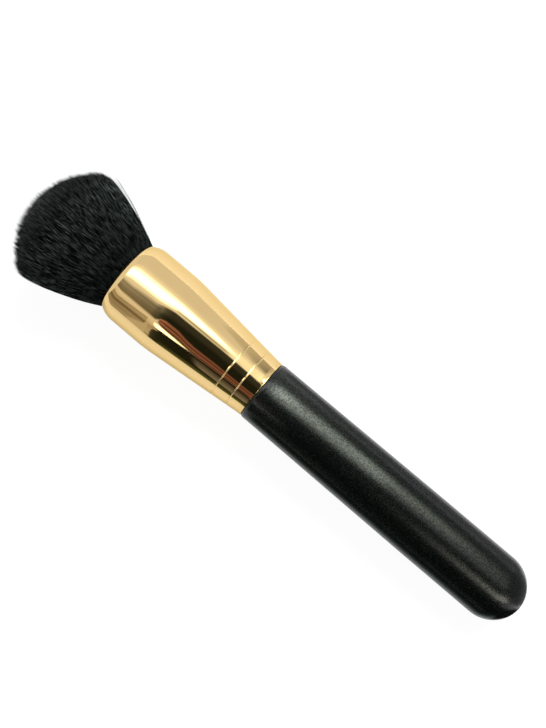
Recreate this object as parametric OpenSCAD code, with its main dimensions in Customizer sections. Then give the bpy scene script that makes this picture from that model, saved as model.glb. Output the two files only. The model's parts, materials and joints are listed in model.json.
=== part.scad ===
// Foundation brush: a painted wooden handle with a round butt, a tapered metal ferrule with a rolled
// mouth and two rolled rings, and a domed head of hair whose roots are set in resin in the ferrule.
// Every piece is drawn upright on one axis, butt at the bottom, and lay_down() then lays it on a table.

/* [Handle] */
// Length of the painted handle that shows, from its butt to the ferrule
handle_len = 89.5; // [70:0.1:130]
// Radius of the grip and of the round butt
grip_r = 9.25; // [8:0.05:10.5]
// Length of the parallel grip, ahead of the round butt
grip_len = 24; // [15:1:45]
// Height by which the handle's front end stands proud of the ferrule
shoulder_step = 0.1; // [0:0.05:0.3]
// Length of the rounding on the handle's front edge
edge_len = 1; // [0.5:0.1:2]
// Drop in radius over that rounding
edge_drop = 0.4; // [0.2:0.05:0.5]
// Length of the tenon that goes into the ferrule
tenon_len = 18; // [14:0.5:20]
// Chamfer on the end of the tenon
tenon_chamfer = 1; // [0.5:0.1:2]
// Depth of the keying grooves turned in the tenon
key_depth = 0.3; // [0.1:0.05:0.6]
// Width of each keying groove
key_w = 1.2; // [0.6:0.1:2]
// Thickness of the cement between the tenon and the ferrule's rear end
cement_film = 0.15; // [0.05:0.05:0.3]
// Distance by which the cement stops short of the tenon's end
cement_setback = 2; // [1.5:0.1:4]

/* [Ferrule] */
// Length of the ferrule
ferrule_len = 47.7; // [42:0.1:60]
// Outer radius at the ferrule's rear end
ferrule_rear_r = 8.9; // [8:0.1:10]
// Outer radius of the ferrule's barrel
barrel_r = 12.05; // [11:0.05:13]
// Distance from the ferrule's rear end to its parallel barrel
barrel_at = 34.6; // [32:0.2:38]
// Radius of the slight inward curve at the rear of the cone
rear_curve_r = 15; // [10:1:50]
// Radius of the shoulder between the cone and the barrel
shoulder_r = 54; // [30:1:70]
// Thickness of the ferrule's wall
ferrule_wall = 0.45; // [0.3:0.05:0.6]
// Length over which the mouth is rolled in
lip_len = 4; // [2.5:0.1:5]
// Drop in radius from the barrel to the rim of the mouth
lip_drop = 1.2; // [0.8:0.05:1.6]
// Distance from the ferrule's rear end to the first rolled ring
ring_at = 4.75; // [3:0.05:6]
// Distance from one rolled ring to the next
ring_pitch = 4.8; // [3:0.1:6]
// Number of rolled rings
ring_count = 2; // [1:1:2]
// Width of a rolled ring
ring_w = 0.45; // [0.3:0.05:0.6]
// Depth of a rolled ring
ring_depth = 0.12; // [0.08:0.01:0.18]

/* [Head] */
// Length of hair that stands out of the ferrule, on the axis
hair_out = 33.8; // [26:0.1:40]
// Radius of the head at its widest, where the dome begins
hair_r = 18.2; // [15:0.1:20]
// Height of the dome, from the widest place to the tip
dome_rise = 10.2; // [7:0.1:13]
// Outward bow of the hair between the mouth and the widest place: 0 is a straight cone
hair_bow = 0.6; // [0:0.05:0.8]
// Gap between the hair and the ferrule's rim
hair_gap = 0.06; // [0.04:0.02:0.2]
// Depth by which the hair is pressed flat where the brush lies on it
hair_flat = 0.5; // [0.2:0.1:0.5]
// Distance by which the roots are drawn in, against the hair at the mouth
root_gather = 0.7; // [0.3:0.1:1.2]
// Number of rings of strands round the middle strand
hair_rings = 10; // [10:1:12]
// Distance by which the strands' tips differ in length
tip_scatter = 0.8; // [0:0.1:1.2]
// Thickness of the resin plug in which the roots are set
resin_len = 5; // [3:0.5:5]
// Thickness of the layer of set roots that each group of strands grows from
slice_len = 1.5; // [1:0.1:2]
// Air space between the end of the tenon and the resin
void_len = 3; // [1:0.5:3]
// Thickness of the thread that binds the roots
binding_t = 0.5; // [0.3:0.05:0.6]

/* [Hidden] */
$fn = 48;

// Places along the axis, measured from the butt
ferrule_z = handle_len;
cement_z = ferrule_z + tenon_len - cement_setback;
tenon_z = ferrule_z + tenon_len;
resin_z = tenon_z + void_len;
slice_z = resin_z + resin_len;
strand_z = slice_z + slice_len;
mouth_z = ferrule_z + ferrule_len;
tip_z = mouth_z + hair_out;

// Handle: its front end, the rounding there and the tenon
handle_front_r = ferrule_rear_r + shoulder_step;
edge_r = (edge_len * edge_len + edge_drop * edge_drop) / (2 * edge_drop);
edge_angle = asin(edge_len / edge_r);
tenon_r = ferrule_rear_r - ferrule_wall - cement_film;

// Ferrule: the angle of the cone, whose straight side touches the rear curve and the shoulder
curves_r = rear_curve_r + shoulder_r;
curves_gap = curves_r - (barrel_r - ferrule_rear_r);
cone_angle = asin(curves_r / norm([barrel_at, curves_gap])) - atan(curves_gap / barrel_at);
cone_z = ferrule_z + rear_curve_r * sin(cone_angle);
cone_start_r = ferrule_rear_r + rear_curve_r * (1 - cos(cone_angle));

// Rolled lip of the mouth, as an arc, and heights of the rolled rings
lip_r = (lip_len * lip_len + lip_drop * lip_drop) / (2 * lip_drop);
lip_angle = asin(lip_len / lip_r);
ring_heights = [for (i = [0:ring_count - 1]) ferrule_z + ring_at + i * ring_pitch];
arc_steps = 5;

// Head: its radius at the mouth, at the roots and over the dome, which is part of a sphere
mouth_bore_r = barrel_r - lip_r + (lip_r - ferrule_wall) * cos(lip_angle);
hair_mouth_r = mouth_bore_r - hair_gap;
hair_root_r = hair_mouth_r - root_gather;
dome_r = (hair_r * hair_r + dome_rise * dome_rise) / (2 * dome_rise);
widest_z = tip_z - dome_rise;

// Strands: thin bars of three sides, drawn through these shares of their free length.
// Their thickness follows the spacing of the rings, so that no two of them touch.
strand_sides = 3;
strand_shares = [0, 0.6];
strand_fill_share = 0.46;
// Depth to which a strand is set in its layer of roots, and how far the outermost ones keep
// inside that layer's edge
strand_set = 0.4;
strand_inset = 0.1;
// Turn from each ring of strands to the next, and the seed for the lengths of their tips
ring_turn = 137.508;
scatter_seed = 7;
// The last ring of each group: core, inner, middle and outer
core_ring = round(hair_rings * 0.3);
inner_ring = round(hair_rings * 0.55);
middle_ring = round(hair_rings * 0.8);

// The brush lies on its butt and on the widest place of its head, and leans by this angle
lie_reach = widest_z - grip_r;
lie_r = hair_r - hair_flat;
lie_angle = atan(lie_r / lie_reach) - asin(grip_r / norm([lie_reach, lie_r]));
butt_lift = grip_r * (1 - sin(lie_angle));
// The origin is on the table, under the middle of the brush's length
low_x = grip_r * (cos(lie_angle) - 1);
high_x = (tip_z - dome_r) * cos(lie_angle) + dome_r;
middle_x = (low_x + high_x) / 2;

// Points on an arc about [r, z], at angles measured from the outward radius towards the tip
function arc(r, z, radius, from, to) =
    [for (i = [0:arc_steps]) let (a = from + (to - from) * i / arc_steps)
        [r + radius * cos(a), z + radius * sin(a)]];

function reversed(points) = [for (i = [len(points) - 1:-1:0]) points[i]];

// Radius of the cone's outside, moved inwards by inset, at a height above the butt
function cone_r(z, inset) = cone_start_r + (z - cone_z) * tan(cone_angle) - inset / cos(cone_angle);

// The ferrule's outside from its rear end to its rim, moved inwards by inset
function ferrule_line(inset) = concat(
    arc(ferrule_rear_r + rear_curve_r, ferrule_z, rear_curve_r + inset, 180, 180 - cone_angle),
    [for (z = ring_heights)
        each [[cone_r(z - ring_w / 2, inset), z - ring_w / 2],
              [cone_r(z, inset + ring_depth), z],
              [cone_r(z + ring_w / 2, inset), z + ring_w / 2]]],
    arc(barrel_r - shoulder_r, ferrule_z + barrel_at, shoulder_r - inset, -cone_angle, 0),
    arc(barrel_r - lip_r, mouth_z - lip_len, lip_r - inset, 0, lip_angle));

// The tenon's side from the handle's shoulder to its chamfer, with the keying grooves
tenon_line = concat(
    [[tenon_r, ferrule_z]],
    [for (z = ring_heights)
        each [[tenon_r, z - key_w / 2], [tenon_r - key_depth, z - key_w / 2],
              [tenon_r - key_depth, z + key_w / 2], [tenon_r, z + key_w / 2]]],
    [[tenon_r, tenon_z - tenon_chamfer]]);

// Radius of the head's outside at a share of a strand's free length
function head_r(share) =
    hair_mouth_r + (hair_r - hair_mouth_r) * share * (1 + hair_bow * (1 - share));

// Half the thickness of the strands where the outermost ring has this radius
function strand_half(outer_r) = strand_fill_share * outer_r / hair_rings;

// A point of a strand, held above the table when the brush lies on it
function above_table(r, side, turn, z) =
    let (x = r * cos(turn) - side * sin(turn), y = r * sin(turn) + side * cos(turn))
    [min(x, (butt_lift + z * sin(lie_angle)) / cos(lie_angle)), y, z];

// Ring of points round a strand's middle line, where the outermost ring has radius outer_r
function strand_ring(share, outer_r, turn, z) =
    let (half = strand_half(outer_r), r = share * (outer_r - half))
    [for (k = [0:strand_sides - 1]) let (a = 360 * k / strand_sides)
        above_table(r + half * cos(a), half * sin(a), turn, z)];

// All points of a strand that ends at height tip: root, mouth, free length and tip
function strand_points(share, turn, tip) = concat(
    strand_ring(share, hair_root_r - strand_inset, turn, strand_z - strand_set),
    [for (s = strand_shares) each strand_ring(share, head_r(s), turn, mouth_z + (tip - mouth_z) * s)],
    [above_table(share * hair_r, 0, turn, tip)]);

// Faces of a strand of so many rings: root, sides in triangles, and tip
function strand_faces(rings) = concat(
    [[for (k = [0:strand_sides - 1]) k]],
    [for (i = [0:rings - 2]) for (k = [0:strand_sides - 1])
        let (a = i * strand_sides + k, b = i * strand_sides + (k + 1) % strand_sides)
        each [[a, a + strand_sides, b], [b, a + strand_sides, b + strand_sides]]],
    [for (k = [0:strand_sides - 1])
        [(rings - 1) * strand_sides + k, rings * strand_sides,
         (rings - 1) * strand_sides + (k + 1) % strand_sides]]);

// Lays a piece that is drawn upright down on the table, tip towards +X
module lay_down() {
    translate([-middle_x, 0, butt_lift]) rotate([0, 90 - lie_angle, 0]) children();
}

// Outline of the inside of the ferrule between two heights
module bore_between(low_z, high_z) {
    intersection() {
        polygon(concat([[0, ferrule_z]], ferrule_line(ferrule_wall), [[0, mouth_z]]));
        translate([0, low_z]) square([barrel_r, high_z - low_z]);
    }
}

module tenon_outline() {
    polygon(concat([[0, ferrule_z]], tenon_line, [[tenon_r - tenon_chamfer, tenon_z], [0, tenon_z]]));
}

module handle() {
    color("#171a18") lay_down() rotate_extrude() {
        translate([0, grip_r]) intersection() {
            circle(r = grip_r);
            translate([0, -grip_r]) square([grip_r, grip_r]);
        }
        polygon(concat(
            [[0, grip_r], [grip_r, grip_r], [grip_r, grip_r + grip_len]],
            arc(handle_front_r - edge_r, ferrule_z - edge_len, edge_r, 0, edge_angle),
            [[0, ferrule_z]]));
        tenon_outline();
    }
}

module tenon_cement() {
    color("#d8cfa8") lay_down() rotate_extrude() difference() {
        bore_between(ferrule_z, cement_z);
        tenon_outline();
    }
}

module ferrule() {
    color("#dcb56e") lay_down() rotate_extrude()
        polygon(concat(ferrule_line(0), reversed(ferrule_line(ferrule_wall))));
}

module root_resin() {
    color("#c9b98a") lay_down() rotate_extrude() bore_between(resin_z, slice_z);
}

module binding_thread() {
    color("#e6e2d6") lay_down() translate([0, 0, slice_z]) rotate_extrude()
        translate([hair_root_r, 0]) square([binding_t, slice_len]);
}

// The strands of the rings from first to last, with the layer of set roots that they grow from
module bristles(first, last) {
    root_pitch = hair_root_r / (hair_rings + 0.5);
    slice_in = first == 0 ? 0 : (first - 0.5) * root_pitch;
    slice_out = (last + 0.5) * root_pitch;
    color("#0b0d0d") lay_down() {
        translate([0, 0, slice_z]) rotate_extrude($fn = 24)
            translate([slice_in, 0]) square([slice_out - slice_in, slice_len]);
        for (ring = [first:last]) {
            share = ring / hair_rings;
            dome_z = tip_z - dome_r + sqrt(dome_r * dome_r - pow(share * hair_r, 2));
            count = max(1, 6 * ring);
            scatter = rands(0, ring == 0 ? 0 : tip_scatter, count, scatter_seed + ring);
            for (i = [0:count - 1])
                polyhedron(strand_points(share, 360 * i / count + ring_turn * ring, dome_z - scatter[i]),
                           strand_faces(len(strand_shares) + 1));
        }
    }
}

module bristles_core() { bristles(0, core_ring); }
module bristles_inner() { bristles(core_ring + 1, inner_ring); }
module bristles_middle() { bristles(inner_ring + 1, middle_ring); }
module bristles_outer() { bristles(middle_ring + 1, hair_rings); }

handle();
tenon_cement();
ferrule();
root_resin();
binding_thread();
bristles_core();
bristles_inner();
bristles_middle();
bristles_outer();
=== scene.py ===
import json
import math

import bpy
from mathutils import Matrix, Vector


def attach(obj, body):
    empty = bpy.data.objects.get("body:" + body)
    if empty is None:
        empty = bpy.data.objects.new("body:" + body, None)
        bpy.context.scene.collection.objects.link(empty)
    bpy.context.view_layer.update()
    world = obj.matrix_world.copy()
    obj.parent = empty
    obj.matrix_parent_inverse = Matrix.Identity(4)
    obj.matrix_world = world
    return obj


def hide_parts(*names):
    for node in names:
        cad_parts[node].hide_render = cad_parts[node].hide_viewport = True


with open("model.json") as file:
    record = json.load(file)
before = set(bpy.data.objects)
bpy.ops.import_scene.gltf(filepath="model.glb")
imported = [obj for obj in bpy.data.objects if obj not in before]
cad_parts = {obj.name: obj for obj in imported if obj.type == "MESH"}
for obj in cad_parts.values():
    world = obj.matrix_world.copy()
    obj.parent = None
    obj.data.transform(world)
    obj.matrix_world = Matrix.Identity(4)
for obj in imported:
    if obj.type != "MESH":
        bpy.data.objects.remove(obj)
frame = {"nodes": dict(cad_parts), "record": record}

MM = 0.001
FULL_TURN = 2 * math.pi
GOLDEN_TURN = 2.39996323

# Handle
HANDLE_LEN = 89.5
GRIP_R = 9.25
GRIP_LEN = 24.0
EDGE_LEN, EDGE_DROP = 1.0, 0.4
TENON_R, TENON_LEN, TENON_CHAMFER = 8.3, 18.0, 1.0
KEY_DEPTH, KEY_W = 0.3, 1.2
# Ferrule
FERRULE_LEN = 47.7
FERRULE_REAR_R = 8.9
STEP_AT_JOINT = 0.1
BARREL_R, BARREL_AT = 12.05, 34.6
REAR_CURVE_R, SHOULDER_R = 15.0, 54.0
WALL = 0.45
LIP_LEN, LIP_DROP = 4.0, 1.2
RINGS_AT = (4.75, 9.55)
RING_W, RING_DEPTH = 0.45, 0.12
# Head
HAIR_OUT = 33.8
HAIR_R = 18.2
DOME_RISE = 10.2
HAIR_BOW = 0.6
HAIR_MOUTH_R = 10.41
HAIR_ROOT_R = 9.7
ROOTS_AT = 115.5

HANDLE_FRONT_R = FERRULE_REAR_R + STEP_AT_JOINT
MOUTH_AT = HANDLE_LEN + FERRULE_LEN
TIP_AT = MOUTH_AT + HAIR_OUT
DOME_R = (HAIR_R ** 2 + DOME_RISE ** 2) / (2 * DOME_RISE)

scene = bpy.context.scene
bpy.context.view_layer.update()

# The brush's own axis comes from the grip that the record gives a holder
grip = frame["record"]["mounts"][0]
along = -Vector(grip["axis"])
butt = Vector(grip["pos_m"]) - along * (GRIP_R + GRIP_LEN / 2) * MM
side = Vector((0, 1, 0))
above = along.cross(side)
LAID = Matrix.Translation(butt) @ Matrix((-above, side, along)).transposed().to_4x4()


def spot(height, turn=0.0, radius=0.0):
    """A point in the room: height along the axis from the butt, turn in degrees from straight above
    towards +Y, radius from the axis, in millimetres."""
    a = math.radians(turn)
    return butt + (along * height + (above * math.cos(a) + side * math.sin(a)) * radius) * MM


# ---- Node trees, written as formulas

def join(tree, value, socket):
    if isinstance(value, Field):
        tree.links.new(value.socket, socket)
    elif value is not None:
        socket.default_value = value


def node(tree, kind, values=None, out=0, **settings):
    """Adds a node, sets it, feeds its sockets by name or number and returns one output."""
    made = tree.nodes.new(kind)
    for key, value in settings.items():
        setattr(made, key, value)
    for key, value in (values or {}).items():
        join(tree, value, made.inputs[key])
    return Field(tree, made.outputs[out])


def sums(tree, operation, *values):
    return node(tree, "ShaderNodeMath", dict(enumerate(values)), operation=operation)


class Field:
    """One value in a node tree. Arithmetic on it adds the nodes that work it out."""

    def __init__(self, tree, socket):
        self.tree, self.socket = tree, socket

    def __add__(self, other):
        return sums(self.tree, "ADD", self, other)

    def __sub__(self, other):
        return sums(self.tree, "SUBTRACT", self, other)

    def __rsub__(self, other):
        return sums(self.tree, "SUBTRACT", other, self)

    def __mul__(self, other):
        return sums(self.tree, "MULTIPLY", self, other)

    def __truediv__(self, other):
        return sums(self.tree, "DIVIDE", self, other)

    def __rtruediv__(self, other):
        return sums(self.tree, "DIVIDE", other, self)

    def __pow__(self, other):
        return sums(self.tree, "POWER", self, other)

    __radd__, __rmul__ = __add__, __mul__

    def sin(self):
        return sums(self.tree, "SINE", self)

    def cos(self):
        return sums(self.tree, "COSINE", self)

    def root(self):
        return sums(self.tree, "SQRT", self)

    def at_least(self, other):
        return sums(self.tree, "MAXIMUM", self, other)

    def at_most(self, other):
        return sums(self.tree, "MINIMUM", self, other)

    def parts(self):
        """The three parts of a vector or colour."""
        split = self.tree.nodes.new("ShaderNodeSeparateXYZ")
        self.tree.links.new(self.socket, split.inputs[0])
        return [Field(self.tree, out) for out in split.outputs]

    def eased(self, start, end):
        """0 before start, 1 after end, smooth between."""
        return node(self.tree, "ShaderNodeMapRange",
                    {"Value": self, "From Min": start, "From Max": end},
                    interpolation_type="SMOOTHSTEP")


def point(tree, x, y, z):
    return node(tree, "ShaderNodeCombineXYZ", {0: x, 1: y, 2: z})


GEOMETRY, MATERIAL = "NodeSocketGeometry", "NodeSocketMaterial"
KINDS = {int: "NodeSocketInt", float: "NodeSocketFloat"}


def new_tree(name, inputs):
    """A geometry tree with these named inputs, each given by its usual value or by its kind.
    Returns the tree and the inputs as Fields."""
    tree = bpy.data.node_groups.new(name, "GeometryNodeTree")
    for key, value in inputs.items():
        kind = KINDS.get(type(value), value)
        made = tree.interface.new_socket(key, in_out="INPUT", socket_type=kind)
        if kind != value:
            made.default_value = value
    tree.interface.new_socket("Geometry", in_out="OUTPUT", socket_type=GEOMETRY)
    entry = tree.nodes.new("NodeGroupInput")
    return tree, {out.name: Field(tree, out) for out in entry.outputs if out.name}


def end_tree(tree, geometry, material):
    """Shades smooth, sets the material and ends the tree."""
    smooth = node(tree, "GeometryNodeSetShadeSmooth", {"Geometry": geometry})
    dressed = node(tree, "GeometryNodeSetMaterial", {"Geometry": smooth, "Material": material})
    done = tree.nodes.new("NodeGroupOutput")
    tree.links.new(dressed.socket, done.inputs[0])


def keep(tree, geometry, name, value, kind="FLOAT", domain="POINT"):
    return node(tree, "GeometryNodeStoreNamedAttribute",
                {"Geometry": geometry, "Name": name, "Value": value}, data_type=kind, domain=domain)


def kept(tree, name):
    return node(tree, "GeometryNodeInputNamedAttribute", {"Name": name}, data_type="FLOAT")


def run_tree(name, tree, values, source=None):
    """Runs a tree once, with its inputs set by identifier, and returns a plain piece, laid down."""
    holder = bpy.data.objects.new(name, source or bpy.data.meshes.new(name))
    scene.collection.objects.link(holder)
    shape = holder.modifiers.new("shape", "NODES")
    shape.node_group = tree
    for item in tree.interface.items_tree:
        if item.in_out == "INPUT" and item.name in values:
            shape[item.identifier] = values[item.name]
    evaluated = holder.evaluated_get(bpy.context.evaluated_depsgraph_get())
    mesh = bpy.data.meshes.new_from_object(evaluated)
    holder.modifiers.remove(shape)
    mesh.transform(LAID)
    holder.data = mesh
    return holder


# ---- Turned pieces

# Steps along each stretch of an outline, and steps round each piece
BUTT_STEPS, GRIP_STEPS, TAPER_STEPS, EDGE_STEPS = 32, 6, 12, 8
REAR_STEPS, CONE_STEPS, SHOULDER_STEPS, BARREL_STEPS, LIP_STEPS = 12, 10, 28, 4, 20
HALF_RING_STEPS = 6
HANDLE_ROUND, FERRULE_ROUND, MASS_ROUND = 192, 256, 96
# Points this far from a corner keep it crisp where the piece is shaded smooth
EDGE_SUPPORT, TENON_SUPPORT = 0.08, 0.1
RING_SUPPORTS = (0.3, 0.04)
# The ferrule's rolled rim, in steps of degrees, and the rounding of its rear corners
RIM_DEGREES, RIM_BULGE = 15, 0.7
REAR_CORNER, REAR_CORNER_SHARE = 0.06, 0.3
WELD = 1e-7


def turning_tree():
    """Turns an outline, the piece's own line of points, round the axis."""
    tree, given = new_tree("turned piece", {
        "Outline": GEOMETRY, "Points": 2, "Steps round": 8, "Material": MATERIAL})
    sheet = node(tree, "GeometryNodeMeshGrid", {
        "Size X": 1.0, "Size Y": 1.0, "Vertices X": given["Points"],
        "Vertices Y": given["Steps round"] + 1})
    across, round_, _ = node(tree, "GeometryNodeInputPosition").parts()
    row = sums(tree, "ROUND", (across + 0.5) * (given["Points"] - 1))
    r, _, z = node(tree, "GeometryNodeSampleIndex", {
        "Geometry": given["Outline"], "Value": node(tree, "GeometryNodeInputPosition"),
        "Index": row}, data_type="FLOAT_VECTOR", domain="POINT").parts()
    turn = (0.5 - round_) * FULL_TURN
    turned = node(tree, "GeometryNodeSetPosition", {
        "Geometry": sheet, "Position": point(tree, r * turn.cos(), r * turn.sin(), z)})
    closed = node(tree, "GeometryNodeMergeByDistance", {"Geometry": turned, "Distance": WELD})
    end_tree(tree, closed, given["Material"])
    return tree


def arc(r, z, radius, start, end, steps):
    """Points on an arc about (r, z), at degrees from the outward radius towards the tip."""
    angles = [math.radians(start + (end - start) * i / steps) for i in range(steps + 1)]
    return [(r + radius * math.cos(a), z + radius * math.sin(a)) for a in angles]


def turned(name, outline, steps, material):
    """A piece turned from an outline of (radius, height), outside first, from butt to tip."""
    line = bpy.data.meshes.new(name + "_line")
    line.from_pydata([(r * MM, 0, z * MM) for r, z in outline], [], [])
    return run_tree(name, TURNING, {
        "Points": len(outline), "Steps round": steps, "Material": material}, line)


def between(start, end, steps):
    """Points on a straight line, without its two ends."""
    return [(start[0] + (end[0] - start[0]) * i / steps, start[1] + (end[1] - start[1]) * i / steps)
            for i in range(1, steps)]


def handle_outline():
    edge_r = (EDGE_LEN ** 2 + EDGE_DROP ** 2) / (2 * EDGE_DROP)
    front = arc(HANDLE_FRONT_R - edge_r, HANDLE_LEN - EDGE_LEN, edge_r, 0,
                math.degrees(math.asin(EDGE_LEN / edge_r)), EDGE_STEPS)
    tenon_end = HANDLE_LEN + TENON_LEN
    tenon = [(front[-1][0] - EDGE_SUPPORT, HANDLE_LEN), (TENON_R, HANDLE_LEN),
             (TENON_R, HANDLE_LEN + TENON_SUPPORT)]
    for ring in RINGS_AT:
        low, high = HANDLE_LEN + ring - KEY_W / 2, HANDLE_LEN + ring + KEY_W / 2
        tenon += [(TENON_R, low), (TENON_R - KEY_DEPTH, low),
                  (TENON_R - KEY_DEPTH, high), (TENON_R, high)]
    tenon += [(TENON_R, tenon_end - TENON_CHAMFER), (TENON_R - TENON_CHAMFER, tenon_end),
              (0, tenon_end)]
    grip_end = (GRIP_R, GRIP_R + GRIP_LEN)
    grip_line = between((GRIP_R, GRIP_R), grip_end, GRIP_STEPS)
    taper = between(grip_end, front[0], TAPER_STEPS)
    return (arc(0, GRIP_R, GRIP_R, -90, 0, BUTT_STEPS) + grip_line + [grip_end]
            + taper + front + tenon)


def ferrule_line(inset):
    """The ferrule's outside from its rear end to its rim, moved inwards by inset."""
    reach = REAR_CURVE_R + SHOULDER_R
    gap = reach - (BARREL_R - FERRULE_REAR_R)
    slope = math.asin(reach / math.hypot(BARREL_AT, gap)) - math.atan(gap / BARREL_AT)
    degrees = math.degrees(slope)
    start_r = FERRULE_REAR_R + REAR_CURVE_R * (1 - math.cos(slope))
    start_z = HANDLE_LEN + REAR_CURVE_R * math.sin(slope)

    def cone(z, depth=0.0):
        return (start_r + (z - start_z) * math.tan(slope) - (inset + depth) / math.cos(slope), z)

    line = arc(FERRULE_REAR_R + REAR_CURVE_R, HANDLE_LEN, REAR_CURVE_R + inset,
               180, 180 - degrees, REAR_STEPS)
    for ring in RINGS_AT:
        middle = HANDLE_LEN + ring
        line += [cone(middle - RING_W / 2 - away) for away in RING_SUPPORTS]
        for i in range(-HALF_RING_STEPS, HALF_RING_STEPS + 1):
            part = i / HALF_RING_STEPS
            line.append(cone(middle + RING_W / 2 * part,
                             RING_DEPTH * (1 + math.cos(math.pi * part)) / 2))
        line += [cone(middle + RING_W / 2 + away) for away in RING_SUPPORTS[::-1]]
    shoulder = arc(BARREL_R - SHOULDER_R, HANDLE_LEN + BARREL_AT, SHOULDER_R - inset,
                   -degrees, 0, SHOULDER_STEPS)
    line += between(line[-1], shoulder[0], CONE_STEPS) + shoulder
    lip_r = (LIP_LEN ** 2 + LIP_DROP ** 2) / (2 * LIP_DROP)
    lip = arc(BARREL_R - lip_r, MOUTH_AT - LIP_LEN, lip_r - inset, 0,
              math.degrees(math.asin(LIP_LEN / lip_r)), LIP_STEPS)
    return line + between(line[-1], lip[0], BARREL_STEPS) + lip


def ferrule_outline():
    """One closed loop: outside, rolled rim, inside and rear end."""
    outside, inside = ferrule_line(0), ferrule_line(WALL)
    out_end, in_end = Vector(outside[-1]), Vector(inside[-1])
    middle, half = (out_end + in_end) / 2, (out_end - in_end) / 2
    forward = Vector((-half.y, half.x))
    rim = []
    for degrees in range(RIM_DEGREES, 180, RIM_DEGREES):
        a = math.radians(degrees)
        rim.append(tuple(middle + half * math.cos(a) + forward * RIM_BULGE * math.sin(a)))
    in_r, out_r, corner = inside[0][0], outside[0][0], REAR_CORNER
    cut = corner * REAR_CORNER_SHARE
    rear = [(in_r, HANDLE_LEN + corner), (in_r + corner, HANDLE_LEN), (out_r - corner, HANDLE_LEN),
            (out_r - cut, HANDLE_LEN + cut), (out_r, HANDLE_LEN + corner)]
    loop = outside[1:] + rim + inside[:0:-1] + rear
    return loop + [loop[0]]


# ---- Hair

# What a head of hair is asked for: how many hairs, between which shares of the head's radius and
# round which way; where they start and how thick they are; the head's form; and how they differ
HAIR_INPUTS = {
    "Hairs": 1000, "Seed": 0, "Rings": 6,
    "First share": 0.0, "Last share": 1.0, "Facing": 0.0, "Spread": FULL_TURN,
    "Start": -0.1, "Thickness": 0.18 * MM,
    "Mouth radius": HAIR_MOUTH_R * MM, "Head radius": HAIR_R * MM, "Dome radius": DOME_R * MM,
    "Mouth height": MOUTH_AT * MM, "Tip height": TIP_AT * MM,
    "Bow": HAIR_BOW, "Lean": 1.4 * MM, "Flare": 0.5 * MM,
    "Clump size": 1.1 * MM, "Clump pull": 0.3, "Clump length": 1.2 * MM,
    "Length scatter": 0.8 * MM, "Wave": 0.08 * MM, "Crimp": 0.02 * MM, "Crossing": 0.3 * MM,
    "Butt lift": butt.z, "Lie": math.asin(along.z),
}
# How far a hair may stray along the spiral, in hairs
SPIRAL_SCATTER = 0.4
# A clump of this chance ends on the dome. A hair ends SHORTFALL scatters before its clump or up to
# LONG_GAIN longer than that; the high powers keep the long and the flared hairs few
DOME_CLUMP = 0.8
SHORTFALL, LONG_GAIN, LONG_POWER, FLARE_POWER = 0.6, 1.4, 4, 6
# Clumps draw together near their tips only
CLUMP_POWER = 5
# Drift of whole clumps, across and along, and crimp of single hairs, per metre
DRIFT_ACROSS, DRIFT_ALONG, CRIMP_RATE = 400.0, 90.0, 500.0
# The lean grows with these powers of the length out of the mouth, each with its share
LEAN_PARTS = ((0.8, 0.45), (4, 0.55))
# A hair tapers over its last TIP_SHARE, and is ROOT_THICKNESS of its thickness at the mouth
TIP_SHARE, TIP_POWER, ROOT_THICKNESS = 1 / 6, 0.6, 0.6
TABLE_CLEARANCE = 0.05 * MM
# A little past the end of a strand of length 1, so that its tip isn't divided by 0
PAST_TIP = 1.0001
# What the hair's own map gives to its tone, the way round it and its length
TONE_SPAN, ROUND_SPAN, TONE_MARGIN = 0.99, 0.004, 0.003
LENGTH_SPAN, LENGTH_MARGIN = 0.88, 0.1


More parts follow.
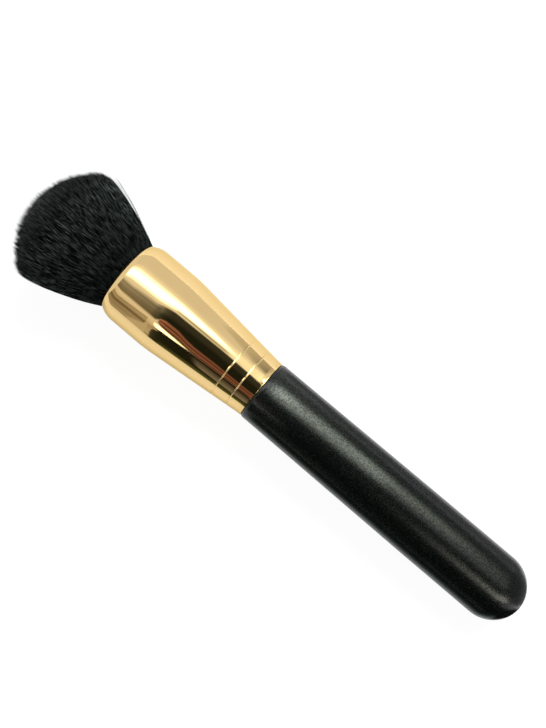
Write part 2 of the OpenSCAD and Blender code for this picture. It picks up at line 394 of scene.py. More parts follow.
def hair_tree():
    """Hair on a spiral of golden turns. Each hair bows out from the mouth to the dome, leans and
    waves with its clump, ends in a thin tip and stays above the table."""
    tree, given = new_tree("head of hair", {**HAIR_INPUTS, "Material": MATERIAL})
    index = node(tree, "GeometryNodeInputIndex")

    def chance(offset, high=1.0):
        return node(tree, "FunctionNodeRandomValue", {
            2: 0.0, 3: high, "ID": index, "Seed": given["Seed"] + offset}, out=1, data_type="FLOAT")

    # One point for each hair, with its place in the tuft and its chances
    first, last = given["First share"] ** 2, given["Last share"] ** 2
    share = (first + (last - first) * (index + 0.5) / given["Hairs"]).root()
    loop = sums(tree, "FRACT", (index + chance(1, SPIRAL_SCATTER)) * (GOLDEN_TURN / FULL_TURN))
    turn = given["Facing"] + (loop - 0.5) * given["Spread"]
    spread = share * given["Head radius"]
    root = point(tree, spread * turn.cos(), spread * turn.sin(), 0.0)
    hairs = node(tree, "GeometryNodePoints", {"Count": given["Hairs"], "Position": root})
    hairs = keep(tree, hairs, "share", share)
    hairs = keep(tree, hairs, "turn", turn)
    for place, name in enumerate(("chance_a", "chance_b", "chance_c", "chance_d")):
        hairs = keep(tree, hairs, name, chance(10 + place))
    cell = tree.nodes.new("ShaderNodeTexVoronoi")
    cell.voronoi_dimensions = "2D"
    join(tree, node(tree, "GeometryNodeInputPosition"), cell.inputs["Vector"])
    join(tree, 1.0 / given["Clump size"], cell.inputs["Scale"])
    clump_x, clump_y, _ = Field(tree, cell.outputs["Position"]).parts()
    clump_a, _, _ = Field(tree, cell.outputs["Color"]).parts()
    for name, value in (("clump_x", clump_x), ("clump_y", clump_y), ("clump_a", clump_a)):
        hairs = keep(tree, hairs, name, value)

    # One strand of three sides, with its share of length and its own map
    strand = tree.nodes.new("GeometryNodeMeshCone")
    strand.fill_type = "NONE"
    for name, value in (("Vertices", 3), ("Side Segments", given["Rings"]), ("Radius Top", 0.0),
                        ("Radius Bottom", 1.0), ("Depth", 1.0)):
        join(tree, value, strand.inputs[name])
    across, upward, height = node(tree, "GeometryNodeInputPosition").parts()
    body = keep(tree, Field(tree, strand.outputs["Mesh"]), "t", height)
    body = keep(tree, body, "corner_x", across / (PAST_TIP - height))
    body = keep(tree, body, "corner_y", upward / (PAST_TIP - height))
    body = keep(tree, body, "round", Field(tree, strand.outputs["UV Map"]), "FLOAT2", "CORNER")
    grown = node(tree, "GeometryNodeInstanceOnPoints", {"Points": hairs, "Instance": body})
    grown = node(tree, "GeometryNodeRealizeInstances", {"Geometry": grown})

    # The line of each hair
    t, share, turn = kept(tree, "t"), kept(tree, "share"), kept(tree, "turn")
    chances = [kept(tree, "chance_" + letter) for letter in "abcd"]
    dome = given["Dome radius"]
    reach = share * given["Head radius"]
    dome_top = given["Tip height"] - dome + (dome * dome - reach * reach).root()
    uneven = (kept(tree, "clump_a") - DOME_CLUMP) * given["Clump length"]
    own_length = (chances[0] ** LONG_POWER) * LONG_GAIN - SHORTFALL
    uneven = uneven + own_length * given["Length scatter"]
    free = dome_top + uneven - given["Mouth height"]
    passed = given["Start"] + (1.0 - given["Start"]) * t
    out = passed * free
    part = (out / (dome_top - given["Mouth height"])).at_least(0.0)
    bowed = part * (1.0 + given["Bow"] * (1.0 - part))
    mouth = given["Mouth radius"]
    girth = mouth + (given["Head radius"] - mouth) * bowed
    outwards = share * girth + given["Flare"] * (chances[1] ** FLARE_POWER) * share * part * part

    # Clumps draw together towards their tips, and drift; single hairs crimp and cross
    grip_share = (part ** CLUMP_POWER) * given["Clump pull"]
    shrink = girth / given["Head radius"]
    root_x, root_y = reach * turn.cos(), reach * turn.sin()
    pull_x = (kept(tree, "clump_x") - root_x) * grip_share * shrink
    pull_y = (kept(tree, "clump_y") - root_y) * grip_share * shrink
    drift = node(tree, "ShaderNodeTexNoise", {
        "Vector": point(tree, kept(tree, "clump_x") * DRIFT_ACROSS,
                        kept(tree, "clump_y") * DRIFT_ACROSS, out * DRIFT_ALONG),
        "Scale": 1.0, "Detail": 1.0}, out=1).parts()
    wave_x, wave_y = ((way - 0.5) * given["Wave"] * 2.0 * part for way in drift[:2])
    crimp = out * (CRIMP_RATE + chances[1] * CRIMP_RATE) + chances[2] * FULL_TURN
    crimp = crimp.sin() * given["Crimp"] * part
    aside = chances[3] * FULL_TURN
    across = (chances[2] - 0.5) * given["Crossing"] * part
    wave_x = wave_x + crimp * aside.cos() - across * turn.sin()
    wave_y = wave_y + crimp * aside.sin() + across * turn.cos()
    bend = (out / (HAIR_OUT * MM)).at_least(0.0)
    lean = given["Lean"] * sum((bend ** power) * weight for power, weight in LEAN_PARTS)

    # Round the line: thin at the root, full in the middle, a point at the tip
    taper = ((1.0 - t) / TIP_SHARE).at_most(1.0) ** TIP_POWER
    thickness = given["Thickness"] * (ROOT_THICKNESS + (1 - ROOT_THICKNESS) * part.at_most(1.0))
    half = thickness * 0.5 * taper
    corner_x, corner_y = kept(tree, "corner_x") * half, kept(tree, "corner_y") * half
    radial = outwards + corner_x
    x = radial * turn.cos() - corner_y * turn.sin() + pull_x + wave_x
    y = radial * turn.sin() + corner_y * turn.cos() + pull_y + wave_y + lean
    z = given["Mouth height"] + out
    lie = given["Lie"]
    table = (given["Butt lift"] - TABLE_CLEARANCE + z * lie.sin()) / lie.cos()
    placed = node(tree, "GeometryNodeSetPosition", {
        "Geometry": grown, "Position": point(tree, x.at_most(table), y, z)})

    # The map holds the hair's own tone across and its length along, for the finish to read
    tone = chances[3]
    round_, _, _ = node(tree, "GeometryNodeInputNamedAttribute", {"Name": "round"},
                        data_type="FLOAT_VECTOR").parts()
    placed = keep(tree, placed, "OFBake", point(
        tree, tone * TONE_SPAN + round_ * ROUND_SPAN + TONE_MARGIN,
        passed * LENGTH_SPAN + LENGTH_MARGIN, 0.0), "FLOAT2", "CORNER")
    for name in ("t", "share", "turn", "corner_x", "corner_y", "round", "clump_x", "clump_y",
                 "clump_a", "chance_a", "chance_b", "chance_c", "chance_d"):
        placed = node(tree, "GeometryNodeRemoveAttribute", {"Geometry": placed, "Name": name})
    end_tree(tree, placed, given["Material"])
    return tree


# How far the dark mass keeps the width of the set roots, and how far inside the hair it stays at
# the mouth, at its side and under the dome
ROOT_STRETCH, MOUTH_ROOM, MOUTH_DEPTH = 1.5, 0.8, 2
MASS_SHARE, SIDE_SHORT, DOME_ROOM = 0.9, 1.2, 1.6
SIDE_STEPS, DOME_STEPS = 14, 12


def mass_outline():
    """The closed mass of hair under the outer hairs, from the set roots to just below the dome."""
    line = [(0, ROOTS_AT), (HAIR_ROOT_R, ROOTS_AT), (HAIR_ROOT_R, ROOTS_AT + ROOT_STRETCH),
            (HAIR_MOUTH_R - MOUTH_ROOM, MOUTH_AT - MOUTH_DEPTH)]
    for i in range(SIDE_STEPS + 1):
        part = i / SIDE_STEPS
        girth = (HAIR_R - HAIR_MOUTH_R) * part * (1 + HAIR_BOW * (1 - part))
        line.append((MASS_SHARE * (HAIR_MOUTH_R + girth),
                     MOUTH_AT + (HAIR_OUT - DOME_RISE - SIDE_SHORT) * part))
    centre, dome_r = TIP_AT - DOME_R, DOME_R - DOME_ROOM
    edge_r, edge_z = line[-1]
    start = max(math.degrees(math.asin(min(1, (edge_z - centre) / dome_r))),
                math.degrees(math.acos(edge_r / dome_r)))
    return line + arc(0, centre, dome_r, start, 90, DOME_STEPS)


# ---- Finishes

# Colours, scales of textures in repeats to the metre, and roughness (ROUGH) and reflection (GLOSS)
# with what each texture adds to them; EDGES are where a texture starts to count and counts fully
LACQUER_BLACK, LACQUER_FLECK = (0.0005, 0.0014, 0.0011), (0.003, 0.005, 0.004)
FLECK_SCALE, GRAIN_SCALE, CLOUD_SCALE = 2600.0, 2500.0, 140.0
LACQUER_ROUGH, GRAIN_ROUGH, CELL_ROUGH, CLOUD_ROUGH = 0.2, 0.06, 0.03, 0.04
LACQUER_GLOSS, GRAIN_GLOSS = 0.25, 0.3
FLECK_EDGES, GRAIN_EDGES = (0.8, 1.0), (0.34, 0.66)
GRAIN_BUMP, GRAIN_DEPTH, CELL_HEIGHT = 0.6, 0.03 * MM, 0.15

GOLD_DEEP, GOLD_PALE, GOLD_EDGE = (0.745, 0.535, 0.245), (0.78, 0.57, 0.272), (0.93, 0.84, 0.60)
DRAWN_SCALES, HAZE_SCALE = (30.0, 2200.0, 2200.0), 90.0
GOLD_ROUGH, HAZE_ROUGH, DRAWN_ROUGH = 0.035, 0.02, 0.015

# Black hair and its painted highlights: bright dashes painted into its colour, fewer towards the
# root as painted shade near the mouth
HAIR_BLACK, HAIR_PAINTED_HIGHLIGHT = (0.0005, 0.0009, 0.0009), (0.09, 0.112, 0.106)
TONES_APART, GLINTS_ALONG, GLINT_EDGES = 400.0, 11.0, (0.46, 0.66)
ROOT_GLINT, TIP_GLINT = 0.2, 0.62
HAIR_ROUGH, GLINT_SMOOTH, HAIR_GLOSS, GLINT_GLOSS = 0.62, 0.15, 0.02, 0.35

SHADE_DARK, SHADE_LIGHT = (0.0015, 0.002, 0.002), (0.006, 0.007, 0.007)
SHADE_SCALES, SHADE_ROUGH, SHADE_GLOSS = (120.0, 2500.0, 2500.0), 0.9, 0.1

# The solids that stay, hidden in the ferrule: the finish's name, its dark and light colour, grains
# to the metre, roughness and depth of the grain
INNER_LOOKS = {
    "tenon_cement": ("pale cement", (0.55, 0.50, 0.31), (0.72, 0.67, 0.46), 900, 0.6, 0.05 * MM),
    "root_resin": ("amber resin", (0.46, 0.36, 0.16), (0.64, 0.54, 0.30), 300, 0.15, 0.01 * MM),
    "binding_thread": (
        "waxed thread", (0.62, 0.58, 0.48), (0.84, 0.81, 0.73), 2500, 0.55, 0.1 * MM),
}
INNER_GRAIN_ROUGH, INNER_BUMP = 0.15, 0.3


def finish(name):
    """A new finish: its material, its tree and the shader's sockets."""
    made = bpy.data.materials.new(name)
    made.use_nodes = True
    tree = made.node_tree
    return made, tree, tree.nodes["Principled BSDF"].inputs


def mixed(tree, share, a, b):
    """A mix of two colours. A Mix node has its colours after its other kinds of sockets."""
    factor, first, second, result = 0, 6, 7, 2
    made = tree.nodes.new("ShaderNodeMix")
    made.data_type = "RGBA"
    join(tree, share, made.inputs[factor])
    join(tree, (*a, 1), made.inputs[first])
    join(tree, (*b, 1), made.inputs[second])
    return Field(tree, made.outputs[result])


def own_place(tree):
    """Where a spot lies on its own object."""
    return node(tree, "ShaderNodeTexCoord", out="Object")


def noise(tree, scale, detail, where):
    return node(tree, "ShaderNodeTexNoise", {"Vector": where, "Scale": scale, "Detail": detail})


def bumped(tree, height, strength, distance):
    return node(tree, "ShaderNodeBump", {
        "Height": height, "Strength": strength, "Distance": distance})


def lacquer_finish():
    """Black satin lacquer: a sprayed coat with a fine leathery grain and sparse pearl flecks."""
    made, tree, shader = finish("black satin lacquer")
    where = own_place(tree)
    cells = node(tree, "ShaderNodeTexVoronoi", {"Vector": where, "Scale": FLECK_SCALE},
                 out="Color").parts()
    grain = noise(tree, GRAIN_SCALE, 1.5, where)
    cloud = noise(tree, CLOUD_SCALE, 3.0, where)
    fleck = cells[0].eased(*FLECK_EDGES)
    rough = LACQUER_ROUGH + grain * GRAIN_ROUGH + cells[1] * CELL_ROUGH + cloud * CLOUD_ROUGH
    gloss = LACQUER_GLOSS + grain.eased(*GRAIN_EDGES) * GRAIN_GLOSS
    skin = grain + cells[2] * CELL_HEIGHT
    join(tree, mixed(tree, fleck, LACQUER_BLACK, LACQUER_FLECK), shader["Base Color"])
    join(tree, rough, shader["Roughness"])
    join(tree, gloss, shader["Specular IOR Level"])
    join(tree, bumped(tree, skin, GRAIN_BUMP, GRAIN_DEPTH), shader["Normal"])
    return made


def gold_finish():
    """Polished gold anodising over drawn aluminium: faint lines along the draw, a little haze."""
    made, tree, shader = finish("polished gold")
    where = own_place(tree)
    drawn = node(tree, "ShaderNodeMapping", {"Vector": where, "Scale": DRAWN_SCALES})
    lines = noise(tree, 1.0, 2.0, drawn)
    haze = noise(tree, HAZE_SCALE, 3.0, where)
    join(tree, mixed(tree, haze, GOLD_DEEP, GOLD_PALE), shader["Base Color"])
    join(tree, GOLD_ROUGH + haze * HAZE_ROUGH + lines * DRAWN_ROUGH, shader["Roughness"])
    shader["Metallic"].default_value = 1.0
    shader["Specular Tint"].default_value = (*GOLD_EDGE, 1)
    return made


def hair_finish():
    """Black filaments, each with its own tone, with painted highlights: short bright dashes painted
    into the colour, which are also smoother and glossier, and fewer towards the root as painted
    shade near the mouth, so the hair is brightest near its tip.
    """
    made, tree, shader = finish("black hair")
    tone, length, _ = node(tree, "ShaderNodeUVMap", uv_map="OFBake").parts()
    where = point(tree, tone * TONES_APART, length * GLINTS_ALONG, 0.0)
    # Painted highlights in the colour, also smoother and glossier, fading towards the root as
    # painted shade near the mouth
    painted_glints = noise(tree, 1.0, 2.0, where).eased(*GLINT_EDGES) * (ROOT_GLINT + length * TIP_GLINT)
    join(tree, mixed(tree, painted_glints, HAIR_BLACK, HAIR_PAINTED_HIGHLIGHT), shader["Base Color"])
    join(tree, HAIR_ROUGH - painted_glints * GLINT_SMOOTH, shader["Roughness"])
    join(tree, HAIR_GLOSS + painted_glints * GLINT_GLOSS, shader["Specular IOR Level"])
    return made


def mass_finish():
    """The dark inside of the hair, with faint lines along it."""
    made, tree, shader = finish("shade inside the hair")
    drawn = node(tree, "ShaderNodeMapping", {"Vector": own_place(tree), "Scale": SHADE_SCALES})
    join(tree, mixed(tree, noise(tree, 1.0, 2.0, drawn), SHADE_DARK, SHADE_LIGHT),
         shader["Base Color"])
    shader["Roughness"].default_value = SHADE_ROUGH
    shader["Specular IOR Level"].default_value = SHADE_GLOSS
    return made


def inner_finish(name, dark, light, scale, roughness, bump):
    made, tree, shader = finish(name)
    grain = noise(tree, scale, 4.0, own_place(tree))
    join(tree, mixed(tree, grain, dark, light), shader["Base Color"])
    join(tree, roughness + grain * INNER_GRAIN_ROUGH, shader["Roughness"])
    join(tree, bumped(tree, grain, INNER_BUMP, bump), shader["Normal"])
    return made


# ---- The pieces

TURNING, HAIR = turning_tree(), hair_tree()
lacquer, gold, hair, shade = lacquer_finish(), gold_finish(), hair_finish(), mass_finish()

handle = turned("turned_handle", handle_outline(), HANDLE_ROUND, lacquer)
ferrule = turned("gold_ferrule", ferrule_outline(), FERRULE_ROUND, gold)
mass = turned("hair_mass", mass_outline(), MASS_ROUND, shade)

# Two layers of whole hairs, the ends of those inside them, and the few wisps that stand off, how
# far out and how far past the tip
WISPS_OUT, WISPS_PAST = 1.8, 2.0
heads = {
    "hair_outer": {"Hairs": 3400, "Seed": 1, "Rings": 10, "First share": 0.9},
    "hair_over": {"Hairs": 3400, "Seed": 5, "Rings": 10, "First share": 0.95,
                  "Length scatter": 1.2 * MM},
    "hair_upper": {"Hairs": 9000, "Seed": 2, "Rings": 2, "Last share": 0.92,
                   "Start": 0.72, "Flare": 0.0},
    "hair_strays": {"Hairs": 9, "Seed": 9, "Rings": 20, "First share": 0.95,
                    "Facing": math.radians(-88), "Spread": math.radians(26),
                    "Head radius": (HAIR_R + WISPS_OUT) * MM,
                    "Tip height": (TIP_AT + WISPS_PAST) * MM, "Bow": 0.36,
                    "Thickness": 0.1 * MM, "Clump pull": 0.0, "Crossing": 0.0,
                    "Length scatter": 1.5 * MM},
}
grown = {name: run_tree(name, HAIR, {**HAIR_INPUTS, **own, "Material": hair})
         for name, own in heads.items()}

for piece, slot, stands_for in (
        (handle, "black_lacquer", ["handle"]),
        (ferrule, "gold_metal", ["ferrule"]),
        (mass, "hair", ["bristles_core", "bristles_inner"]),
        (grown["hair_outer"], "hair", ["bristles_outer"]),
        (grown["hair_over"], "hair", ["bristles_outer"]),
        (grown["hair_strays"], "hair", ["bristles_outer"]),
        (grown["hair_upper"], "hair", ["bristles_middle"])):
    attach(piece, "root")
    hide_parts(*stands_for)

for node_name, look in INNER_LOOKS.items():
    finishes = frame["nodes"][node_name].data.materials
    finishes.clear()
    finishes.append(inner_finish(*look))


# ---- The room: a pale table, soft lamps and the studio cards that the gold shows

WHITE = (1.0, 1.0, 1.0)
TABLE_HALF, TABLE_GREY = 3.0, (0.86, 0.86, 0.86, 1)
# The share of the table that glows by itself, how strongly, and how much of that a mirror sees
TABLE_GLOW_SHARE, TABLE_GLOW, TABLE_IN_GLOSS = 0.86, 1.06, 0.5
# How strongly the white world lights the brush
ROOM_LIGHT = 0.55
# Where the lamps point
LIT_SPOT = Vector((0, 0, 0.015))
# Faces across a card; its streaks, one to so many degrees, so many along it, from where they fade
# in to where they are full, and what sets one card's streaks apart from the next one's
CARD_STEPS = 16
STREAK_DEGREES, STREAK_LENGTHS, STREAK_EDGES, STREAKS_APART = 2.6, 1.5, (0.38, 0.62), 3.7


def seen_share(tree, in_gloss=1.0):
    """1 for what is seen straight or through glass, in_gloss for what is seen in a mirror."""
    path = tree.nodes.new("ShaderNodeLightPath")
    rays = [Field(tree, path.outputs[name]) for name in
            ("Is Camera Ray", "Is Glossy Ray", "Is Transmission Ray")]
    return rays[0].at_least(rays[1] * in_gloss).at_least(rays[2])


def bare_tree(name):
    made = bpy.data.materials.new(name)
    made.use_nodes = True
    made.node_tree.nodes.clear()
    return made, made.node_tree


def end_surface(tree, shader):
    done = tree.nodes.new("ShaderNodeOutputMaterial")
    tree.links.new(shader.socket, done.inputs["Surface"])


def mix_shader(tree, share, a, b):
    return node(tree, "ShaderNodeMixShader", {0: share, 1: a, 2: b})


def table_top():
    made, tree = bare_tree("pale table")
    matt = node(tree, "ShaderNodeBsdfDiffuse", {"Color": TABLE_GREY})
    lit = node(tree, "ShaderNodeEmission", {"Color": (*WHITE, 1), "Strength": TABLE_GLOW})
    glow = seen_share(tree, TABLE_IN_GLOSS) * TABLE_GLOW_SHARE
    end_surface(tree, mix_shader(tree, glow, matt, lit))
    mesh = bpy.data.meshes.new("table")
    s = TABLE_HALF
    mesh.from_pydata([(-s, -s, 0), (s, -s, 0), (s, s, 0), (-s, s, 0)], [], [(0, 1, 2, 3)])
    mesh.materials.append(made)
    top = bpy.data.objects.new("table", mesh)
    scene.collection.objects.link(top)


def card(name, rows, stops, soft=(0.1, 0.1, 0.1), streaks=0.0, radius=300.0, widens=0.0):
    """A bent studio card that only shows in gloss. rows are (height, first turn, last turn,
    strength) and stops are (share across, colour). soft is the blur, as shares, of its first side,
    its last side and its ends, streaks is how much fine lines along it dim it, and widens is how
    much more radius its last row has than its first."""
    made, tree = bare_tree(name)
    across, up, _ = node(tree, "ShaderNodeUVMap", uv_map="card").parts()
    strength, _, _ = node(tree, "ShaderNodeUVMap", uv_map="strength").parts()
    edge = across.eased(0.0, soft[0]) * (1.0 - across).eased(0.0, soft[1])
    edge = edge * up.eased(0.0, soft[2]) * (1.0 - up).eased(0.0, soft[2])
    ramp = tree.nodes.new("ShaderNodeValToRGB")
    join(tree, across, ramp.inputs[0])
    for i, (share, colour) in enumerate(stops):
        stop = ramp.color_ramp.elements[i] if i < 2 else ramp.color_ramp.elements.new(share)
        stop.position, stop.color = share, (*colour, 1)
    degrees = abs(rows[0][2] - rows[0][1])
    lines = noise(tree, 1.0, 2.0, point(
        tree, across * degrees / STREAK_DEGREES, up * STREAK_LENGTHS, len(name) * STREAKS_APART))
    strength = strength * (1.0 - streaks + lines.eased(*STREAK_EDGES) * streaks)
    glow = node(tree, "ShaderNodeEmission", {
        "Color": Field(tree, ramp.outputs[0]), "Strength": strength})
    clear = node(tree, "ShaderNodeBsdfTransparent", {})
    end_surface(tree, mix_shader(tree, edge, clear, glow))
    points, places, faces = [], [], []
    steps = CARD_STEPS
    for height, first, last, power in rows:
        v = (height - rows[0][0]) / (rows[-1][0] - rows[0][0])
        for j in range(steps + 1):
            points.append(spot(height, first + (last - first) * j / steps, radius + widens * v))
            places.append((j / steps, v, power))
    for i in range(len(rows) - 1):
        for j in range(steps):
            a = i * (steps + 1) + j
            faces.append((a, a + 1, a + steps + 2, a + steps + 1))
    mesh = bpy.data.meshes.new(name)
    mesh.from_pydata(points, [], faces)
    layers = mesh.uv_layers.new(name="card"), mesh.uv_layers.new(name="strength")
    for loop in mesh.loops:
        u, v, power = places[loop.vertex_index]
        layers[0].data[loop.index].uv = u, v
        layers[1].data[loop.index].uv = power, 0.0
    mesh.materials.append(made)
    board = bpy.data.objects.new(name, mesh)
    scene.collection.objects.link(board)
    board.visible_camera = board.visible_diffuse = board.visible_shadow = False
    board.visible_transmission = board.visible_volume_scatter = False


def lamp(name, where, size, power):
    """A round soft lamp that faces the brush and isn't mirrored in it."""
    light = bpy.data.lights.new(name, "AREA")
    light.shape, light.size, light.energy = "DISK", size, power
    made = bpy.data.objects.new(name, light)
    made.location = where
    made.rotation_euler = (LIT_SPOT - Vector(where)).to_track_quat("-Z", "Y").to_euler()
    made.visible_glossy = False
    scene.collection.objects.link(made)


def room():
    """A world that is plain white where it is seen and dimmer as a light, a table and two lamps."""
    world = bpy.data.worlds.new("room")
    scene.world = world
    world.use_nodes = True
    tree = world.node_tree
    backdrop = tree.nodes["Background"].inputs
    backdrop["Color"].default_value = (*WHITE, 1)
    join(tree, seen_share(tree) * (1 - ROOM_LIGHT) + ROOM_LIGHT, backdrop["Strength"])
    table_top()
    lamp("key lamp", (0.05, -0.6, 0.65), 0.5, 9.0)
    lamp("fill lamp", (-0.15, 0.6, 0.7), 0.6, 1.5)


room()


def plain(colour):
    return [(0.0, colour), (1.0, colour)]


def studio():
    """What the gold and the lacquer mirror. On cards 300 mm out, the handle's top line shows the
    heights from -80 to 105, the cone's 49 to 113, the shoulder's up to 184, the barrel's up to 205
    and the lip's what is beyond. Cards with a smaller radius lie in front of the rest."""
    card("pale ceiling", [(-20, -99, -44, 0.9), (480, -99, -44, 0.9)],
         plain(WHITE), (0.22, 0.3, 0.02), radius=312)
    card("dim ceiling", [(-400, -104, -40, 0.3), (48, -104, -40, 0.3)],
         plain(WHITE), (0.03, 0.2, 0.06), radius=311)
    card("glow round the softbox", [(30, -52, -12, 1.35), (480, -54, 6, 1.35)],
         plain((1.0, 1.0, 0.97)), (0.4, 0.3, 0.05), radius=310)
    card("dark room", [(-400, -17, 104, 1), (30, -17.8, 104, 1), (50, -18.4, 89, 1),
         (78, -18.4, 90, 1), (90, -16.4, 90.5, 1), (105, -14.2, 91, 1), (120, -12.2, 91, 1.2),
         (140, -9.7, 91, 2), (150, -8, 90.5, 3.2), (162, -5.7, 89.5, 7), (185, -1, 89.5, 14)],
         [(0.0, (0.045, 0.045, 0.035)), (0.15, (0.042, 0.043, 0.036)),
          (0.24, (0.016, 0.018, 0.013)), (1.0, (0.013, 0.015, 0.01))],
         (0.05, 0.01, 0.04), radius=308)
    card("gold wall", [(126, 22, 89.5, 1), (145, 27, 89.5, 1), (158, 33, 89.5, 1),
         (480, 33, 89.5, 1)],
         [(0.0, (0.3, 0.26, 0.2)), (0.11, (0.95, 0.93, 0.9)), (0.26, (0.95, 0.9, 0.83)),
          (0.38, (0.72, 0.66, 0.56)), (0.46, (0.53, 0.45, 0.35)), (0.64, (0.6, 0.55, 0.48)),
          (0.87, (0.64, 0.59, 0.51)), (0.96, (0.38, 0.34, 0.22)), (1.0, (0.42, 0.38, 0.3))],
         (0.05, 0.01, 0.04), 0.1, radius=307)
    card("striped curtain", [(152, -5, 35, 0.35), (170, -3, 35, 0.6), (184, -1, 35, 0.92),
         (192, 0, 35, 1.05), (204, 4, 35, 1.3), (480, 5, 42, 1.3)],
         [(0.0, (0.75, 0.75, 0.75)), (0.16, (0.5, 0.5, 0.49)), (0.29, (0.26, 0.25, 0.22)),
          (0.44, (0.33, 0.33, 0.31)), (0.56, (0.24, 0.23, 0.2)), (0.9, (0.2, 0.18, 0.14)),
          (1.0, (0.27, 0.25, 0.19))],
         (0.08, 0.02, 0.04), 0.12, radius=306)
    card("far striped curtain", [(178, 42, 89.5, 1), (190, 45.5, 89.5, 1), (204, 49.5, 89.5, 0.9),
         (480, 60, 108, 0.9)],
         [(0.0, (0.48, 0.42, 0.3)), (0.08, (0.44, 0.39, 0.27)), (0.16, (0.6, 0.55, 0.45)),
          (0.24, (0.48, 0.42, 0.33)), (0.36, (0.21, 0.15, 0.085)), (0.52, (0.45, 0.4, 0.34)),
          (0.7, (0.42, 0.37, 0.29)), (0.86, (0.54, 0.49, 0.42)), (1.0, (0.42, 0.37, 0.26))],
         (0.06, 0.01, 0.015), 0.12, radius=305)
    card("gold wedge", [(168, 54, 89.5, 1), (178, 56, 89.5, 1), (186, 67, 89.5, 1),
         (197, 86, 89.5, 1)],
         plain((0.63, 0.58, 0.5)), (0.15, 0.01, 0.1), radius=304)
    card("dark screen", [(44, 50, 89, 1), (92, 51, 90, 1), (103, 52.5, 91, 1),
         (120, 54, 91.5, 1.3), (132, 56.5, 91.5, 2), (143, 58.5, 91, 3), (149, 60, 91, 4),
         (153, 65, 91, 5), (157, 76, 91, 6)],
         plain((0.013, 0.015, 0.01)), (0.07, 0.02, 0.045), radius=303)
    card("green edge", [(44, 76, 89, 1), (80, 77, 90, 1), (100, 78, 90.5, 1), (122, 79, 91, 0.8),
         (134, 81, 91, 0.7)],
         [(0.0, (0.06, 0.055, 0.03)), (0.5, (0.065, 0.08, 0.03)), (1.0, (0.19, 0.24, 0.09))],
         (0.15, 0.06, 0.1), 0.15, radius=302)
    card("pale patch", [(30, 50, 76.5, 1), (60, 50.5, 76.5, 1), (88, 51, 75, 1), (99, 53, 74, 1)],
         [(0.0, (0.04, 0.035, 0.03)), (0.35, (0.13, 0.125, 0.12)), (0.8, (0.26, 0.25, 0.245)),
          (1.0, (0.2, 0.19, 0.17))],
         (0.1, 0.08, 0.08), 0.15, radius=301)
    card("copper curtain", [(30, 29, 48, 1.05), (60, 27.5, 48, 1.1), (78, 26.5, 48, 1.15),
         (94, 28, 50, 1.2), (101, 25, 48, 1.25), (106, 19.5, 45, 1.3), (122, 20, 43, 1.7),
         (134, 23, 41, 1.9), (147, 26, 37, 1.9)],
         [(0.0, (0.14, 0.07, 0.06)), (0.18, (0.27, 0.13, 0.11)), (0.35, (0.26, 0.11, 0.08)),
          (0.41, (0.05, 0.02, 0.015)), (0.48, (0.06, 0.025, 0.02)), (0.56, (0.32, 0.15, 0.115)),
          (0.68, (0.25, 0.11, 0.085)), (0.76, (0.045, 0.02, 0.015)), (0.9, (0.2, 0.11, 0.09))],
         (0.12, 0.08, 0.04), 0.25, radius=300)
    card("bright gap", [(99, 47, 48.8, 1.2), (110, 43.5, 51.8, 2.8), (120, 42, 52.6, 3.3),
         (132, 41.3, 53.4, 3.3), (143, 41.5, 53, 3.2), (155, 42.5, 50.5, 1.5)],
         plain((1.0, 1.0, 0.95)), (0.2, 0.2, 0.06), radius=299)
    card("white softbox", [(66, -36, -24, 1.3), (74, -37, -24.5, 2.4), (82, -39, -24, 3.8),
         (90, -42, -22, 4), (105, -43, -17.5, 4), (120, -43.5, -14, 4), (140, -43, -10, 4),
         (162, -43, -6.5, 4), (185, -43, -3.5, 4), (204, -42, -1, 4), (480, -42, 3, 4)],
         plain((1.0, 1.0, 0.98)), (0.42, 0.38, 0.02), radius=298)
    card("lines beside the softbox", [(72, -25, -17, 0.7), (100, -23, -14, 0.75),
         (118, -18, -14, 0.8)],
         plain((0.95, 0.95, 0.88)), (0.3, 0.3, 0.12), 0.4, radius=297)
    card("shade at the joint", [(28, -90, -40, 0.06), (50, -90, -42, 0.1), (57, -91, -44, 0.27),
         (66, -92, -46, 0.5), (78, -92, -58, 0.66), (92, -92, -66, 0.7), (104, -92, -74, 0.84)],
         plain((1.0, 0.98, 0.9)), (0.05, 0.4, 0.1), radius=296)
    card("lamp at the joint", [(44, -27, -16, 1.2), (56, -26, -17, 1.4), (70, -24, -17.5, 1.1)],
         plain((1.0, 1.0, 0.95)), (0.25, 0.2, 0.2), radius=297)
    card("long softbox over the handle", [(-120, -62, -34, 0.22), (-80, -62, -34, 0.42),
         (-60, -62, -32, 0.85), (-29, -65, -18, 3.8), (37, -66, -13, 6.2), (54, -64, -8, 6.6)],
         plain((0.89, 1.0, 0.82)), (0.45, 0.65, 0.04), radius=294)
    card("softbox near the joint", [(46, -51, -6, 6), (76, -51, 0, 7.2), (88.4, -50, 4, 13)],
         plain((0.9, 1.0, 0.84)), (0.45, 0.72, 0.05), radius=20)
    # Painted shade: dark cards close to the handle stand in for the table's shade beside and behind
    # it, as the lacquer mirrors it
    card("dark cloth beside the handle", [(-60, 82, 122, 0.12), (0, 82, 122, 0.15),
         (76, 82, 122, 0.18)],
         plain((0.9, 1.0, 0.95)), (0.2, 0.02, 0.04), radius=38)
    card("dark cloth behind the handle", [(-60, -122, -86, 0.38), (76, -122, -86, 0.44)],
         plain(WHITE), (0.02, 0.2, 0.04), radius=38)
    # Painted shadow: dark strips just off the handle stand in for the brush's shadow on the table
    # next to it, as the lacquer mirrors it
    card("dark strip beside the handle", [(-34, 58, 101, 1), (91, 60, 101, 1)],
         [(0.0, (0.015, 0.03, 0.027)), (0.5, (0.03, 0.05, 0.045)), (0.76, (0.35, 0.42, 0.38)),
          (1.0, (1.0, 1.08, 1.02))],
         (0.25, 0.02, 0.045), radius=14)
    card("dark strip behind the handle", [(-34, -101, -70, 0.42), (91, -101, -72, 0.44)],
         plain(WHITE), (0.05, 0.3, 0.045), radius=14)
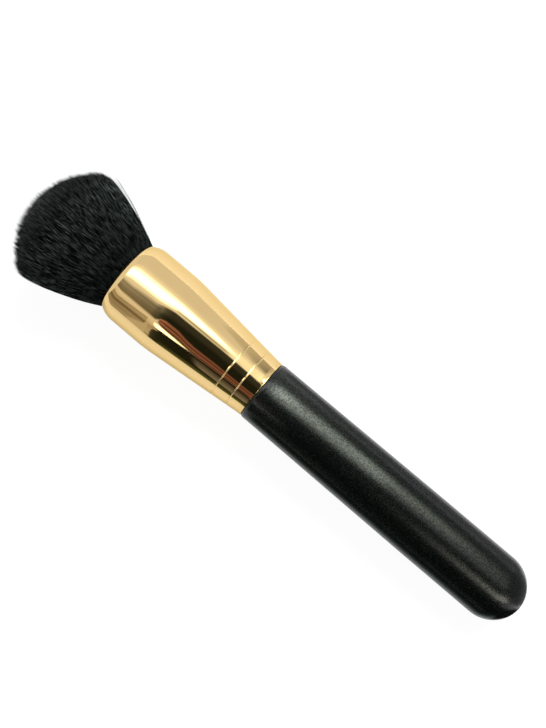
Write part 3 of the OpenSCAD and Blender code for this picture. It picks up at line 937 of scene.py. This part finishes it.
    card("dark cloth beside the joint", [(42, 11, 64, 0.02), (85, 11, 64, 0.02)],
         plain((0.85, 1.0, 0.95)), (0.2, 0.1, 0.1), radius=36)
    card("grey board past the butt", [(-5, -180, 2, 0.3), (-6, -180, 2, 0.3)],
         plain(WHITE), (0.01, 0.06, 0.02), radius=1, widens=34)
    card("dark board past the butt", [(-5, 22, 180, 0.02), (-6, 22, 180, 0.02)],
         plain(WHITE), (0.07, 0.01, 0.02), radius=1, widens=34)
    card("warm lamp", [(-500, 2, 22, 9.5), (-150, 4, 26, 7.5), (-90, 6, 29, 5), (-30, 8, 30, 0.6)],
         plain((1.0, 0.98, 0.84)), (0.4, 0.4, 0.05), radius=295)


studio()

# ---- Camera, at the photograph's angle

# The picture's longer side and the lens's focal length, in its pixels
PICTURE_LONG, FOCUS_PIXELS = 728, 858.0
# The camera is over this height along the axis, and so far above the axis and aside, in metres
CAMERA_OVER, CAMERA_ABOVE, CAMERA_ASIDE = 77.9, 0.23296, -0.00736
# How far it looks towards the tip of the head, and how far the picture is turned
CAMERA_TILT, PICTURE_TURN = math.radians(3.35), math.radians(40.1446)
NEAREST, FARTHEST = 0.01, 20.0

lens = bpy.data.cameras.new("camera")
lens.lens = FOCUS_PIXELS / PICTURE_LONG * lens.sensor_width
lens.clip_start, lens.clip_end = NEAREST, FARTHEST
camera = bpy.data.objects.new("camera", lens)
scene.collection.objects.link(camera)
forward = along * math.sin(CAMERA_TILT) - above * math.cos(CAMERA_TILT)
to_butt = -(along * math.cos(CAMERA_TILT) + above * math.sin(CAMERA_TILT))
right = to_butt * math.cos(PICTURE_TURN) - side * math.sin(PICTURE_TURN)
upwards = -to_butt * math.sin(PICTURE_TURN) - side * math.cos(PICTURE_TURN)
place = spot(CAMERA_OVER) + above * CAMERA_ABOVE + side * CAMERA_ASIDE
facing = Matrix((right, upwards, -forward)).transposed().to_4x4()
camera.matrix_world = Matrix.Translation(place) @ facing
scene.camera = camera

scene.view_settings.view_transform = "Standard"
